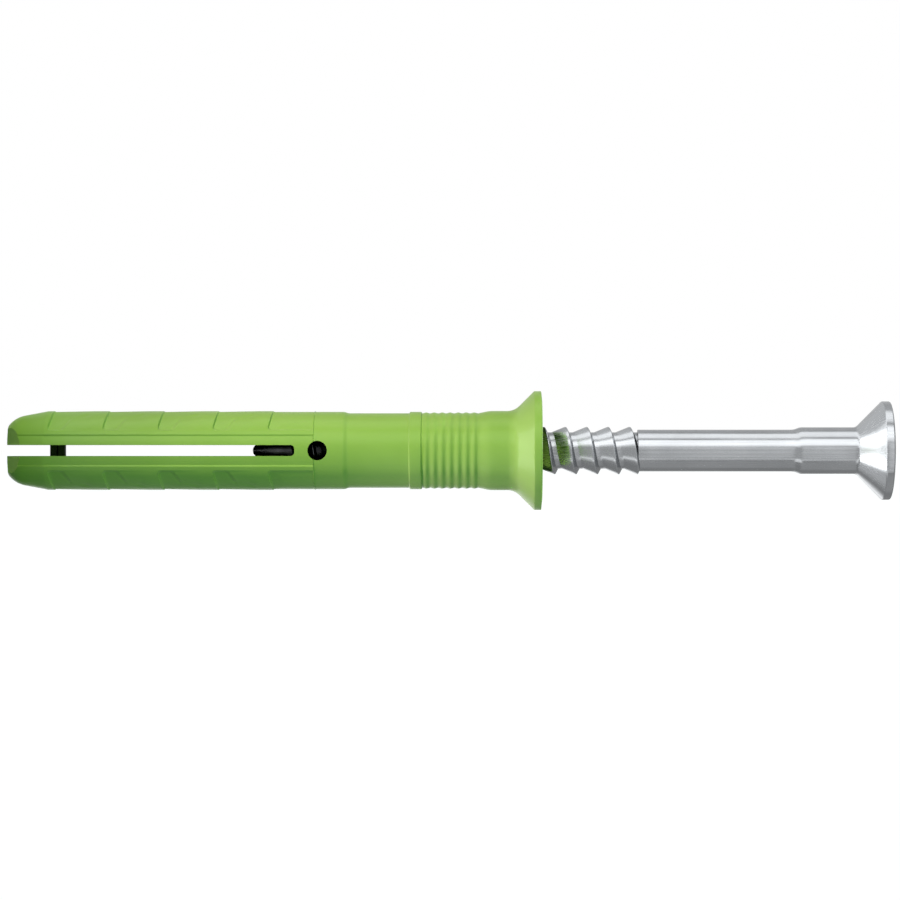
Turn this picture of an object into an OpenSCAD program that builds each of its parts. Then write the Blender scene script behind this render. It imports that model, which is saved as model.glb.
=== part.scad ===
// Nail plug: a split nylon plug with a countersunk flange, and the sawtooth nail that is driven into it.
// X runs along the axis, from the tip of the plug to the head of the nail, and Z is up.
// The origin is on the axis, where the straight seat of the sleeve ends and the flange begins.
// The stations in the plug are measured from its tip, and those in the nail from its point.

/* [Plug] */
// Length of the plug, from its tip to the outer face of the flange
plug_length = 40; // [38:0.5:80]
// Diameter of the seat under the flange, which fills the mouth of the drilled hole
seat_d = 5.93; // [5.8:0.01:6.1]
// Length of the seat, up to the corner it would make with the flange cone
seat_length = 1.9; // [1.2:0.1:4]
// Diameter of the plug over its barbs
barb_d = 5.91; // [5.8:0.01:6.1]
// Diameter of the collar behind the barbs
collar_d = 5.8; // [5.7:0.01:6]
// Length of the collar
collar_length = 2.2; // [1:0.1:4]
// Diameter of the plain neck
neck_d = 5.59; // [5.4:0.01:5.75]
// Length of the chamfer from the collar down to the neck
neck_chamfer = 0.3; // [0.1:0.05:0.6]

/* [Nose] */
// Diameter of the flat front face
face_d = 2.6; // [2.3:0.05:3.2]
// Diameter at which the front turns into the rounded nose
front_d = 3.9; // [3.6:0.05:4.2]
// How far the front falls away between those two diameters
front_fall = 0.06; // [0.02:0.01:0.15]
// Distance from the tip at which the rounded nose turns into the lead cone
nose_length = 1.2; // [1:0.05:1.5]
// Diameter of the nose where the lead cone begins
nose_d = 5.24; // [5:0.02:5.4]
// Distance from the tip at which the lead cone reaches the diameter of the barbs
lead_length = 3.1; // [2.4:0.1:3.4]

/* [Barbs] */
// Number of barb steps along the plug
barb_count = 5; // [2:1:8]
// Distance from the tip to the first barb step
barb_first = 3.54; // [3.5:0.02:5]
// Distance from one barb step to the next
barb_pitch = 4.07; // [3.9:0.01:5]
// Depth of a pocket behind its step
pocket_depth = 0.09; // [0.05:0.01:0.2]
// Depth of the shallow level in a pocket, beside the diagonal ridge
shelf_depth = 0.045; // [0.02:0.005:0.08]
// Length over which the floor of a pocket ramps up to the next crest
pocket_ramp = 3.1; // [2:0.05:3.4]
// Half width of the crest strip that is left between the pockets, beside the slot
strip_half = 1.47; // [1.35:0.01:1.7]
// Radius of the pocket corner at the foot of the step
pocket_corner_r = 0.3; // [0.1:0.05:0.5]
// How far a step leans towards the tip between the top of the plug and the crest strip
step_lean = 0.24; // [0:0.02:0.5]
// Distance behind the step at which the diagonal ridge leaves the crest strip
ridge_start = 0.75; // [0.5:0.05:0.8]
// Distance behind the step of the first bend of the ridge
bend_x = 0.96; // [0.85:0.01:1.2]
// Half width of the plug at the first bend of the ridge
bend_half = 1.7; // [1.6:0.05:1.9]
// Distance behind the step of the knee of the ridge
knee_x = 1.45; // [1.25:0.05:1.8]
// Half width of the plug at the knee of the ridge
knee_half = 2.33; // [2:0.01:2.6]
// Distance of the end of the ridge below the top of the plug
ridge_top_gap = 0.1; // [0.05:0.01:0.2]
// How far the ridge runs on past the end of the ramp
ridge_overrun = 0.3; // [0.1:0.05:0.4]
// Length from the last barb step to the end of the barbed zone
barb_tail = 3.18; // [2.6:0.01:6]
// Length over which the floor behind the last step ramps up to the collar
tail_ramp = 1.3; // [0.8:0.05:2.4]

/* [Jaws] */
// Width of the slot between the two jaws
slot_w = 0.82; // [0.5:0.02:1.2]
// Length of the slot, from the tip to its end
slot_length = 21.6; // [20:0.1:22]
// Radius of the two corners at the end of the slot
slot_corner_r = 0.28; // [0.1:0.02:0.4]
// Half width of the recessed band along the slot
band_half = 1.15; // [0.9:0.01:1.3]
// Depth of the recessed band at the tip, below the crests of the barbs
band_depth = 0.33; // [0.1:0.01:0.5]
// Depth of the band where it runs out at the end of the barbed zone, below the collar
band_end_depth = 0.02; // [0.01:0.01:0.05]
// Diameter of the relief hole behind the slot
relief_d = 1.45; // [0.8:0.05:1.8]
// Distance from the end of the slot to the centre of the relief hole
relief_gap = 1.7; // [1.5:0.05:2.4]
// Distance from the tip to the end of the slanted front of the jaws, where the band begins
front_cut_end = 1.25; // [0.8:0.05:2]
// Angle of the slanted front from the axis
front_cut_angle = 52; // [35:1:56]
// Distance from the tip to the tear-off bridge that ties the jaws together
bridge_start = 3.11; // [2:0.01:6]
// Length of the bridge along the axis
bridge_length = 1.12; // [0.5:0.01:2]
// Thickness of the bridge
bridge_t = 0.6; // [0.4:0.05:0.9]
// Width of the breaking grooves in the bridge
groove_w = 0.16; // [0.08:0.02:0.3]

/* [Sleeve ribs] */
// Diameter of the ring in front of the ribs
ring_d = 5.8; // [5.7:0.01:6]
// Length of the ring
ring_length = 0.9; // [0.5:0.05:2]
// Length of the chamfers at both ends of the ring
ring_chamfer = 0.05; // [0.02:0.01:0.1]
// Number of sealing ribs
rib_count = 7; // [3:1:10]
// Distance from one sealing rib to the next
rib_pitch = 0.6; // [0.5:0.01:0.8]
// Diameter over the crests of the sealing ribs
rib_d = 5.71; // [5.66:0.01:5.9]
// Diameter in the grooves between the sealing ribs
rib_groove_d = 5.58; // [5.4:0.01:5.64]
// Length of the cone from the last rib groove up to the seat
seat_cone = 0.8; // [0.4:0.05:1.5]

/* [Flange] */
// Diameter of the flange
flange_d = 8.9; // [8.4:0.1:10]
// Thickness of the flange rim
flange_rim = 0.6; // [0.4:0.05:1]
// Radius of the fillet between the seat and the flange cone
flange_fillet = 1.3; // [0.5:0.1:2]
// How far the outer face of the flange falls away towards its edge
flange_fall = 0.08; // [0:0.01:0.2]

/* [Nail] */
// Length of the nail
nail_length = 47.67; // [46:0.01:70]
// Diameter of the shank between the thread and the upper shank
shank_d = 3.12; // [3:0.02:3.3]
// Diameter of the upper shank, under the head
upper_d = 3.48; // [3.4:0.02:3.6]
// Length of the upper shank
upper_length = 4.16; // [2:0.1:6]
// Length of the chamfer between the two shanks
shank_chamfer = 0.5; // [0.2:0.05:1]
// Radius of the nail's point
point_r = 0.5; // [0.3:0.05:0.8]
// Half angle of the nail's point
point_angle = 30; // [20:1:40]

/* [Thread] */
// Diameter over the crest of the sawtooth thread
thread_d = 3.55; // [3.4:0.01:3.6]
// Diameter at the root of the thread
root_d = 2.73; // [2.5:0.01:2.9]
// Pitch of the single-start right-hand thread
thread_pitch = 1.6; // [1.5:0.05:1.9]
// Distance from the point of the nail to the end of the thread
thread_end = 28.83; // [20:0.05:32]
// Length of the gradual flank, on the side of the point
lead_flank = 1; // [0.7:0.05:1.1]
// Length of the steep flank, on the side of the head
back_flank = 0.2; // [0.05:0.05:0.25]
// Width of the flat on the crest
crest_flat = 0.07; // [0.04:0.01:0.12]

/* [Nail head] */
// Diameter of the countersunk head
head_d = 7.36; // [7:0.02:7.4]
// Thickness of the rim of the head
head_rim = 0.6; // [0.3:0.05:0.8]
// Rounding of the upper edge of the head
head_edge = 0.12; // [0.05:0.01:0.2]
// Fillet between the upper shank and the head
head_fillet = 0.2; // [0.1:0.05:0.5]
// Span of the cross recess across two of its wings
recess_span = 4.2; // [3.4:0.1:4.8]
// Width of a wing of the cross recess
recess_wing = 1.05; // [0.8:0.05:1.3]
// Depth of the cross recess
recess_depth = 2.2; // [1.5:0.1:2.5]

/* [Fits] */
// Radial clearance between the bore of the plug and the widest part of the nail in it
bore_clearance = 0.045; // [0.02:0.005:0.1]
// Diameter of the narrow bore between the jaws, which the nail forces apart
pilot_d = 1.9; // [1.6:0.05:2.2]
// Distance from the end of the narrow bore to the end of the slot
pilot_gap = 2.7; // [2:0.05:3]
// How far the point of the nail stands in the mouth of the narrow bore
point_depth = 0.6; // [0.2:0.05:0.7]
// Radial clearance round the head of the nail in the flange
head_clearance = 0.07; // [0.03:0.01:0.15]

/* [Hidden] */
$fn = 96;
// cutters reach this far past the faces that they cut
past = 1;
// how far a hidden face stays below or beside the visible one
hidden_gap = 0.01;

// Plug
seat_r = seat_d / 2;
flange_r = flange_d / 2;
crest_r = barb_d / 2;
collar_r = collar_d / 2;
flange_cone = flange_r - seat_r;
flange_foot = plug_length - flange_rim - flange_cone;
seat_end = flange_foot - flange_fillet * tan(22.5);
seat_start = flange_foot - seat_length;
rib_end = seat_start - seat_cone;
rib_start = rib_end - rib_count * rib_pitch;
ring_start = rib_start - ring_length;
last_step = barb_first + (barb_count - 1) * barb_pitch;
barb_end = last_step + barb_tail;
collar_end = barb_end + collar_length;
relief_x = slot_length + relief_gap;

// Bore of the plug and countersink of the flange
bore_r = max(thread_d, upper_d) / 2 + bore_clearance;
pilot_r = pilot_d / 2;
pilot_end = slot_length - pilot_gap;
bore_start = pilot_end + (bore_r - pilot_r) / tan(point_angle);
sink_r = head_d / 2 + head_clearance;
sink_end = plug_length - head_rim - head_clearance;
sink_start = sink_end - (sink_r - bore_r);

// Nail
root_r = root_d / 2;
thread_r = thread_d / 2;
head_r = head_d / 2;
upper_r = upper_d / 2;
point_x = pilot_end - point_depth;
point_tangent_r = point_r * cos(point_angle);
point_tangent_x = point_r * (1 - sin(point_angle));
point_length = point_tangent_x + (root_r - point_tangent_r) / tan(point_angle);
head_foot = nail_length - head_rim - (head_r - upper_r);
upper_start = head_foot - upper_length;

// Thread, in steps along the helix: it begins at the top of the nail, at a share of its full height
steps = 36;
fade_in = steps / 2;
fade_out = steps / 4;
least_height = 0.1;
// the last crest at the top of the nail is this far from the end of the thread
last_top_gap = 0.6;
whole_turns = floor((thread_end - last_top_gap - point_length - lead_flank * least_height) / thread_pitch);
crest_start = thread_end - last_top_gap - whole_turns * thread_pitch;
last_part_turn = 0.75;
thread_steps = round((whole_turns + last_part_turn) * steps);
// the rod's end rings lie inside the point and the shank, a little smaller than the root
ring_sink = 0.035;
end_ring_r = root_r - ring_sink;
core_r = end_ring_r - 3 * ring_sink;

// Points of an arc, as [radius, station], about a centre, between two angles from the axis
function arc_points(centre_r, centre_x, r, from, to, count) = [
    for (i = [0:count])
        let (a = from + (to - from) * i / count)
        [centre_r + r * sin(a), centre_x - r * cos(a)]
];

// A solid of revolution about X, from an outline of [radius, station] points
module turned(outline) {
    rotate([0, 90, 0])
        rotate_extrude()
            polygon(outline);
}

// Rounded nose: an arc from the edge of the front that is tangent to the lead cone
lead_angle = atan((crest_r - nose_d / 2) / (lead_length - nose_length));
nose_run = nose_length - front_fall;
nose_rise = (nose_d - front_d) / 2;
nose_r = (nose_run ^ 2 + nose_rise ^ 2) / (2 * (nose_rise * cos(lead_angle) - nose_run * sin(lead_angle)));
nose_centre_x = nose_length + nose_r * sin(lead_angle);
nose_centre_r = nose_d / 2 - nose_r * cos(lead_angle);
front_angle = acos((nose_centre_x - front_fall) / nose_r);
nose_outline = concat(
    [[0, 0], [face_d / 2, 0]],
    arc_points(nose_centre_r, nose_centre_x, nose_r, front_angle, 90 - lead_angle, 10)
);

// Barbed zone at the height of the crests, before the pockets are cut
module crests() {
    turned(concat(nose_outline, [[crest_r, lead_length], [crest_r, barb_end], [0, barb_end]]));
}

// Outline of one pocket, seen from the side, with its step at zero
module pocket_outline(ramp_end) {
    corner_x = pocket_corner_r - step_lean;
    corner_z = strip_half + pocket_corner_r;
    polygon(concat(
        [[0, crest_r + past], [0, crest_r]],
        [for (a = [0:22.5:90]) [corner_x - pocket_corner_r * cos(a), corner_z - pocket_corner_r * sin(a)]],
        [[ramp_end, strip_half], [ramp_end, crest_r + past]]
    ));
}

// Outline of the deep part of a pocket, up to its diagonal ridge
module deep_outline() {
    ridge_end = pocket_ramp + ridge_overrun;
    polygon([
        [-hidden_gap, crest_r + past], [-step_lean - hidden_gap, strip_half - hidden_gap],
        [ridge_start, strip_half - hidden_gap], [bend_x, bend_half], [knee_x, knee_half],
        [ridge_end, crest_r - ridge_top_gap], [ridge_end, crest_r + past]
    ]);
}

// An outline drawn in X and Z, cut straight through the plug in both jaws
module through_jaws() {
    for (side = [0, 1])
        mirror([0, 0, side])
            rotate([90, 0, 0])
                linear_extrude(2 * (crest_r + past), center = true)
                    children();
}

module pockets() {
    for (i = [0:barb_count - 1])
        translate([barb_first + i * barb_pitch, 0, 0])
            through_jaws()
                pocket_outline(i < barb_count - 1 ? pocket_ramp : barb_tail + past);
}

module deep_pockets() {
    for (i = [0:barb_count - 1])
        translate([barb_first + i * barb_pitch, 0, 0])
            through_jaws()
                deep_outline();
}

// Floor of the pockets: one ramp behind each step, at a given depth
function ramps(depth) = [
    for (i = [0:barb_count - 2], p = [0, 1, 2])
        let (x = barb_first + i * barb_pitch)
        p == 0 ? [crest_r - depth, x - step_lean - 2 * hidden_gap]
        : p == 1 ? [crest_r - hidden_gap, x + pocket_ramp]
        : [crest_r - hidden_gap, x + barb_pitch - step_lean - 2 * hidden_gap]
];

// Shallow level of the pockets
module shelves() {
    turned(concat(
        [[0, lead_length], [crest_r - shelf_depth, lead_length]],
        ramps(shelf_depth),
        [[0, last_step - step_lean - 2 * hidden_gap]]
    ));
}

// Sealing ribs: rounded crests with a groove on each side
rib_mid_r = (rib_d + rib_groove_d) / 4;
rib_wave = (rib_d - rib_groove_d) / 4;
rib_points = 6;
rib_outline = [
    for (i = [0:rib_count * rib_points - 1])
        [rib_mid_r - rib_wave * cos(360 * i / rib_points), rib_start + i * rib_pitch / rib_points]
];

// Core of the plug, with the deep floors of the pockets, the sleeve and the flange
module core() {
    core_start = lead_length + hidden_gap;
    neck_r = neck_d / 2;
    ring_r = ring_d / 2;
    turned(concat(
        [[0, core_start], [crest_r - pocket_depth, core_start]],
        ramps(pocket_depth),
        [
            [crest_r - pocket_depth, last_step - step_lean - 2 * hidden_gap],
            [collar_r, last_step + tail_ramp], [collar_r, collar_end],
            [neck_r, collar_end + neck_chamfer], [neck_r, ring_start - ring_chamfer],
            [ring_r, ring_start], [ring_r, rib_start - ring_chamfer]
        ],
        rib_outline,
        [[rib_groove_d / 2, rib_end], [seat_r, seat_start]],
        arc_points(seat_r + flange_fillet, seat_end, -flange_fillet, 90, 45, 6),
        [
            [flange_r, plug_length - flange_rim],
            [flange_r, plug_length - flange_fall],
            [sink_r, plug_length],
            [0, plug_length]
        ]
    ));
}

// Cutter along the axis that goes right through the plug to both sides, between two stations
module through_cut(start, end, half) {
    translate([start, -crest_r - past, -half])
        cube([end - start, 2 * (crest_r + past), 2 * half]);
}

// Slot that parts the jaws, from the tip to its end with two rounded corners
module slot() {
    corner_r = min(slot_corner_r, slot_w / 2);
    through_cut(-past, slot_length - corner_r, slot_w / 2);
    through_cut(-past, slot_length, slot_w / 2 - corner_r);
    for (side = [-1, 1])
        translate([slot_length - corner_r, 0, side * (slot_w / 2 - corner_r)])
            rotate([90, 0, 0])
                cylinder(r = corner_r, h = 2 * (crest_r + past), center = true);
}

// Recessed band on both sides of the slot, deepest at the tip, with a floor that rises to the collar
module band() {
    floor_r = crest_r - band_depth;
    end_r = collar_r - band_end_depth;
    difference() {
        through_cut(-past, barb_end + hidden_gap, band_half);
        turned([
            [0, -2 * past], [floor_r, -2 * past], [floor_r, 0],
            [end_r, barb_end], [end_r, barb_end + past], [0, barb_end + past]
        ]);
    }
}

// Slanted front of the jaws on both sides of the slot, from the face up to the floor of the band
module front_cut() {
    rise = tan(front_cut_angle);
    foot = crest_r - band_depth - front_cut_end * rise;
    reach = crest_r + past;
    for (side = [0, 1])
        mirror([0, side, 0])
            translate([0, 0, -reach])
                linear_extrude(2 * reach)
                    polygon([
                        [-hidden_gap, foot - hidden_gap * rise],
                        [(reach - foot) / rise, reach],
                        [-hidden_gap, reach]
                    ]);
}

module relief_hole() {
    translate([relief_x, 0, 0])
        rotate([90, 0, 0])
            cylinder(d = relief_d, h = 2 * (crest_r + past), center = true);
}

// Bore: narrow between the jaws, wide in the sleeve, countersunk in the flange
module bore() {
    turned([
        [0, -past], [pilot_r, -past], [pilot_r, pilot_end], [bore_r, bore_start],
        [bore_r, sink_start], [sink_r, sink_end], [sink_r, plug_length + past], [0, plug_length + past]
    ]);
}

// Bridge across the bore that ties the jaws together until the nail breaks it, grooved on both sides
module bridge() {
    half = pilot_r + 0.1;
    difference() {
        translate([bridge_start, -bridge_t / 2, -half])
            cube([bridge_length, bridge_t, 2 * half]);
        for (side = [-1, 1])
            translate([bridge_start + bridge_length / 2, side * bridge_t / 2, 0])
                rotate([0, 0, 45])
                    cube([groove_w / sqrt(2), groove_w / sqrt(2), 3 * half], center = true);
    }
}

module plug() {
    color("#86b54a")
        translate([-seat_end, 0, 0]) {
            difference() {
                union() {
                    difference() {
                        crests();
                        pockets();
                    }
                    difference() {
                        shelves();
                        deep_pockets();
                    }
                    core();
                }
                slot();
                band();
                front_cut();
                relief_hole();
                bore();
            }
            bridge();
        }
}

// Height of the thread at a step, as a share of its full height: it runs in and out
function height_at(s) =
    least_height + (1 - least_height) * max(0, min(1, s / fade_in, (thread_steps - s) / fade_out));

// Station of the crest at a step: the last turn ends on the shank
function crest_at(s) = min(crest_start + thread_pitch * s / steps, thread_end);

function around(r, s, x) = [x, -r * sin(360 * s / steps), r * cos(360 * s / steps)];

// Root, crest, crest, root: the four corners of the sawtooth at a step
function tooth(s) =
    let (h = height_at(s), x = crest_at(s), r = root_r + h * (thread_r - root_r))
    [
        around(root_r, s, x - crest_flat / 2 - lead_flank * h),
        around(r, s, x - crest_flat / 2),
        around(r, s, x + crest_flat / 2),
        around(root_r, s, x + crest_flat / 2 + back_flank * h)
    ];

// Two triangles that fill a quad, whose corners run clockwise as seen from outside
function quad(a, b, c, d) = [[a, b, c], [a, c, d]];

// Threaded rod as one closed skin, along the helix: each turn's root joins the next turn's
module threaded_rod() {
    first_ring = 4 * (thread_steps + 1);
    last_ring = first_ring + steps;
    points = concat(
        [for (s = [0:thread_steps]) each tooth(s)],
        [for (s = [0:steps - 1]) around(end_ring_r, s, point_length - 2 * hidden_gap)],
        [for (s = [0:steps - 1]) around(end_ring_r, s, thread_end + crest_flat + back_flank)]
    );
    teeth = [
        for (s = [0:thread_steps - 1], j = [0:2])
            each quad(4 * s + j, 4 * s + 1 + j, 4 * s + 5 + j, 4 * s + 4 + j)
    ];
    roots = [
        for (s = [0:thread_steps - steps - 1])
            each quad(4 * s + 3, 4 * (s + steps), 4 * (s + steps + 1), 4 * s + 7)
    ];
    run_in = [
        for (s = [0:steps - 1])
            each quad(first_ring + s, 4 * s, 4 * (s + 1), first_ring + (s + 1) % steps)
    ];
    run_out = [
        for (s = [thread_steps - steps:thread_steps - 1])
            each quad(4 * s + 3, last_ring + s % steps, last_ring + (s + 1) % steps, 4 * s + 7)
    ];
    // the flat faces in which the thread begins and ends, with the root in front of it and behind it
    start_face = concat(
        quad(0, 3, 2, 1),
        [[first_ring, 3, 0], [first_ring, 4 * steps, 3]]
    );
    last = 4 * thread_steps;
    end_ring = last_ring + thread_steps % steps;
    end_face = concat(
        quad(last, last + 1, last + 2, last + 3),
        [[end_ring, last, last + 3], [end_ring, last - 4 * steps + 3, last]]
    );
    first_cap = [[for (s = [0:steps - 1]) first_ring + s]];
    last_cap = [[for (s = [steps - 1:-1:0]) last_ring + s]];
    polyhedron(points, concat(teeth, roots, run_in, run_out, start_face, end_face, first_cap, last_cap));
}

// Point, shanks and countersunk head
module nail_body() {
    fillet_run = head_fillet * tan(22.5);
    turned(concat(
        arc_points(0, point_r, point_r, 0, 90 - point_angle, 6),
        [
            [root_r, point_length],
            [core_r, point_length],
            [core_r, thread_end],
            [shank_d / 2, thread_end],
            [shank_d / 2, upper_start - shank_chamfer],
            [upper_r, upper_start]
        ],
        arc_points(upper_r + head_fillet, head_foot - fillet_run, -head_fillet, 90, 45, 4),
        [[head_r, nail_length - head_rim]],
        arc_points(head_r - head_edge, nail_length - head_edge, head_edge, 90, 180, 4),
        [[0, nail_length]]
    ));
}

// Cross recess: two crossed wings that narrow towards the bottom
module cross_recess() {
    recess_foot_r = 0.8 * recess_wing;
    intersection() {
        union()
            for (turn = [45, 135])
                rotate([turn, 0, 0])
                    translate([nail_length - recess_depth, -recess_span, -recess_wing / 2])
                        cube([recess_depth + past, 2 * recess_span, recess_wing]);
        turned([
            [0, nail_length - recess_depth], [recess_foot_r, nail_length - recess_depth],
            [recess_span / 2, nail_length], [recess_span / 2, nail_length + past], [0, nail_length + past]
        ]);
    }
}

module nail() {
    color("#c3c7cc")
        translate([point_x - seat_end, 0, 0])
            difference() {
                union() {
                    nail_body();
                    threaded_rod();
                }
                cross_recess();
            }
}

plug();
nail();
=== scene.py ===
"""Looks of the nail plug: a split nylon sleeve with barbs, and the sawtooth nail that is started in it.

Sizes are in millimetres and become metres when a mesh is made. X runs along the axis, from the tip of the
plug to the head of the nail, and Z is up. The photograph looks along +Y. Stations in the plug are measured
from its tip, and those in the nail from its point.
"""
import math

import bmesh
import bpy
import numpy as np
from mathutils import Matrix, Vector


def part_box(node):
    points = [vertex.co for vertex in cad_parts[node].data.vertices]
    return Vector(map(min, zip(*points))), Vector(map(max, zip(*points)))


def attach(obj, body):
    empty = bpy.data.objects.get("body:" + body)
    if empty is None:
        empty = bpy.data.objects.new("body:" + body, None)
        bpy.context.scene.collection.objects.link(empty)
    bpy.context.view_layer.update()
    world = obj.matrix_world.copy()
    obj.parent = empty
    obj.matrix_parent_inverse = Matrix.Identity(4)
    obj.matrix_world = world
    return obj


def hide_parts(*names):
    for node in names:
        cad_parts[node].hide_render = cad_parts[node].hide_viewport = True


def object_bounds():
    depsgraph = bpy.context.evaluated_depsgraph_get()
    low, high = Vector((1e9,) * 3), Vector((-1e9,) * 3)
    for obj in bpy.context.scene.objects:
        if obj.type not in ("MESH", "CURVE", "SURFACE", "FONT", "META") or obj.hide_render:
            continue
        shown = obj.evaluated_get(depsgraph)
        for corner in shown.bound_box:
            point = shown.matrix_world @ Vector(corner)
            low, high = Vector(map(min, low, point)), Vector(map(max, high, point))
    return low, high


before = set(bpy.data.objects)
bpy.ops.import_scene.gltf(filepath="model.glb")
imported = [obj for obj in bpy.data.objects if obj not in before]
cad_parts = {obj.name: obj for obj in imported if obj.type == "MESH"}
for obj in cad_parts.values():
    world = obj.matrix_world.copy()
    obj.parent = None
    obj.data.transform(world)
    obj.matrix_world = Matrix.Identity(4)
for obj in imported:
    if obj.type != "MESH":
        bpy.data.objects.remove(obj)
cad_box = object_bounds()
MM = 0.001

# Plug: sleeve and flange
PLUG_LENGTH = 40.0
SEAT_R = 2.965
SEAT_LENGTH = 1.9
CREST_R = 2.955
COLLAR_R = 2.9
COLLAR_LENGTH = 2.2
NECK_R = 2.795
NECK_CHAMFER = 0.3
RING_R = 2.9
RING_LENGTH = 0.9
RING_CHAMFER = 0.05
RIB_COUNT = 7
RIB_PITCH = 0.6
RIB_R = 2.855
RIB_GROOVE_R = 2.79
SEAT_CONE = 0.8
FLANGE_R = 4.45
FLANGE_RIM = 0.6
FLANGE_FILLET = 1.3
FLANGE_FALL = 0.08

# Plug: nose
FACE_R = 1.3
FRONT_R = 1.95
FRONT_FALL = 0.06
NOSE_LENGTH = 1.2
NOSE_R = 2.62
LEAD_LENGTH = 2.98

# Plug: barbs. A pocket lies behind each step, and its heights are measured from the slot's middle.
BARB_COUNT = 5
BARB_FIRST = 3.42
BARB_PITCH = 4.1
BARB_TAIL = 3.18
STEP_LEAN = 0.24
STEP_FRONT = 0.07
STEP_BACK = 0.35
POCKET_DEPTH = 0.06
POCKET_RAMP = 3.1
POCKET_WALL = 0.13
POCKET_CORNER_R = 0.3
STRIP_HALF = 1.47
TAIL_RAMP = 1.3

# Plug: the deep part of a pocket swells round the jaw, between two angles over the slot's plane, in radians
SWELL = 0.13
SWELL_START = 0.44
SWELL_END = 1.4

# Plug: the diagonal ridge of a pocket, as points (station behind the step, height), with a shelf behind it
RIDGE = (
    (0.75, 1.46), (0.96, 1.7), (1.4, 2.34), (1.83, 2.5), (2.28, 2.63), (2.73, 2.73), (3.4, 2.855),
)
RIDGE_WALL = 0.15
SHELF_DEPTH = 0.045
SHELF_FOOT = 1.5
SHELF_FALL = 0.08
SHELF_RISE = (1.0, 1.8)
SHELF_FADE = (2.5, 3.07)
GROOVE_DEPTH = 0.035
GROOVE_OFFSET = 0.1
GROOVE_SPREAD = 0.08
GROOVE_END = 1.5

# Plug: slot, band, slanted front, hole and bridge
SLOT_HALF = 0.41
SLOT_LENGTH = 21.6
SLOT_CORNER_R = 0.28
BAND_HALF = 1.15
BAND_DEPTH = 0.085
BAND_LEAST = 0.06
BAND_END_DEPTH = 0.02
BAND_DRAFT = 0.12
RELIEF_R = 0.725
RELIEF_GAP = 1.7
FRONT_CUT_FOOT = 1.025
FRONT_CUT_ANGLE = math.radians(52)
BRIDGE_START = 3.11
BRIDGE_LENGTH = 1.12
BRIDGE_T = 0.6
BRIDGE_GROOVE_W = 0.16
CUTTER_REACH = 4.0

# Plug: bore
MOUTH_CHAMFER = 0.03
PILOT_R = 0.95
PILOT_GAP = 2.7
BORE_R = 1.82
SINK_R = 3.75
SINK_END_GAP = 0.67

# Nail
NAIL_LENGTH = 47.67
SHANK_R = 1.56
UPPER_R = 1.74
UPPER_LENGTH = 4.16
SHANK_CHAMFER = 0.5
POINT_R = 0.5
POINT_ANGLE = math.radians(30)
HEAD_R = 3.68
HEAD_RIM = 0.6
HEAD_EDGE = 0.12
HEAD_FILLET = 0.2
RECESS_HALF = 2.1
RECESS_WING = 1.05
RECESS_FLOOR_R = 0.84
RECESS_DEPTH = 2.2
THREAD_R = 1.775
ROOT_R = 1.365
THREAD_PITCH = 1.6
THREAD_END = 28.83
LEAD_FLANK = 1.0
BACK_FLANK = 0.2
CREST_FLAT = 0.07
LAST_TOP_GAP = 0.6
LEAST_HEIGHT = 0.1
THREAD_SUNK = 0.12

# Places that follow from the sizes
CREST_END = BARB_FIRST + (BARB_COUNT - 1) * BARB_PITCH
BARB_END = CREST_END + BARB_TAIL
FLANGE_FOOT = PLUG_LENGTH - FLANGE_RIM - (FLANGE_R - SEAT_R)
SEAT_END = FLANGE_FOOT - FLANGE_FILLET * math.tan(math.radians(22.5))
SEAT_START = FLANGE_FOOT - SEAT_LENGTH
RIB_END = SEAT_START - SEAT_CONE
RIB_START = RIB_END - RIB_COUNT * RIB_PITCH
RING_START = RIB_START - RING_LENGTH
RELIEF_X = SLOT_LENGTH + RELIEF_GAP
PILOT_END = SLOT_LENGTH - PILOT_GAP
TIP_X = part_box("plug")[0].x / MM
POINT_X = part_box("nail")[0].x / MM
FLOOR_Z = cad_box[0].z / MM
CONE_START = POINT_R * (1 - math.sin(POINT_ANGLE))
CONE_END = CONE_START + (ROOT_R - POINT_R * math.cos(POINT_ANGLE)) / math.tan(POINT_ANGLE)


# Outlines: lists of (station, radius)


def arc(centre, radius, start, end, count):
    """Points of an arc about (station, radius), between two angles from the axis, in radians."""
    angles = np.linspace(start, end, count + 1)
    return [(centre[0] + radius * math.cos(a), centre[1] + radius * math.sin(a)) for a in angles]


def rounded(corners, count=4):
    """An open outline whose corners (station, radius, rounding) are replaced by arcs."""
    points = [corners[0][:2]]
    for before, corner, after in zip(corners, corners[1:], corners[2:]):
        here = Vector(corner[:2])
        back = Vector(before[:2]) - here
        ahead = Vector(after[:2]) - here
        reach = min(corner[2], 0.45 * back.length, 0.45 * ahead.length)
        if reach < 1e-4:
            points.append(corner[:2])
            continue
        start = here + back.normalized() * reach
        end = here + ahead.normalized() * reach
        for i in range(count + 1):
            t = i / count
            points.append(tuple((1 - t) ** 2 * start + 2 * t * (1 - t) * here + t * t * end))
    points.append(corners[-1][:2])
    return points


def divided(points, step):
    """The same outline with no stretch longer than step."""
    result = [points[0]]
    for a, b in zip(points, points[1:]):
        count = max(1, math.ceil(math.dist(a, b) / step))
        result += [tuple(np.array(a) + (np.array(b) - np.array(a)) * i / count) for i in range(1, count + 1)]
    return result


def ladder(start, *stretches):
    """Values from start on, through stretches of (end, number of steps)."""
    values = [start]
    for end, count in stretches:
        values += list(np.linspace(values[-1], end, count + 1)[1:])
    return values


def smooth(value, start=0.0, end=1.0):
    """A smooth step from 0 at start to 1 at end."""
    t = np.clip((value - start) / (end - start), 0, 1)
    return t * t * (3 - 2 * t)


# Meshes


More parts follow.
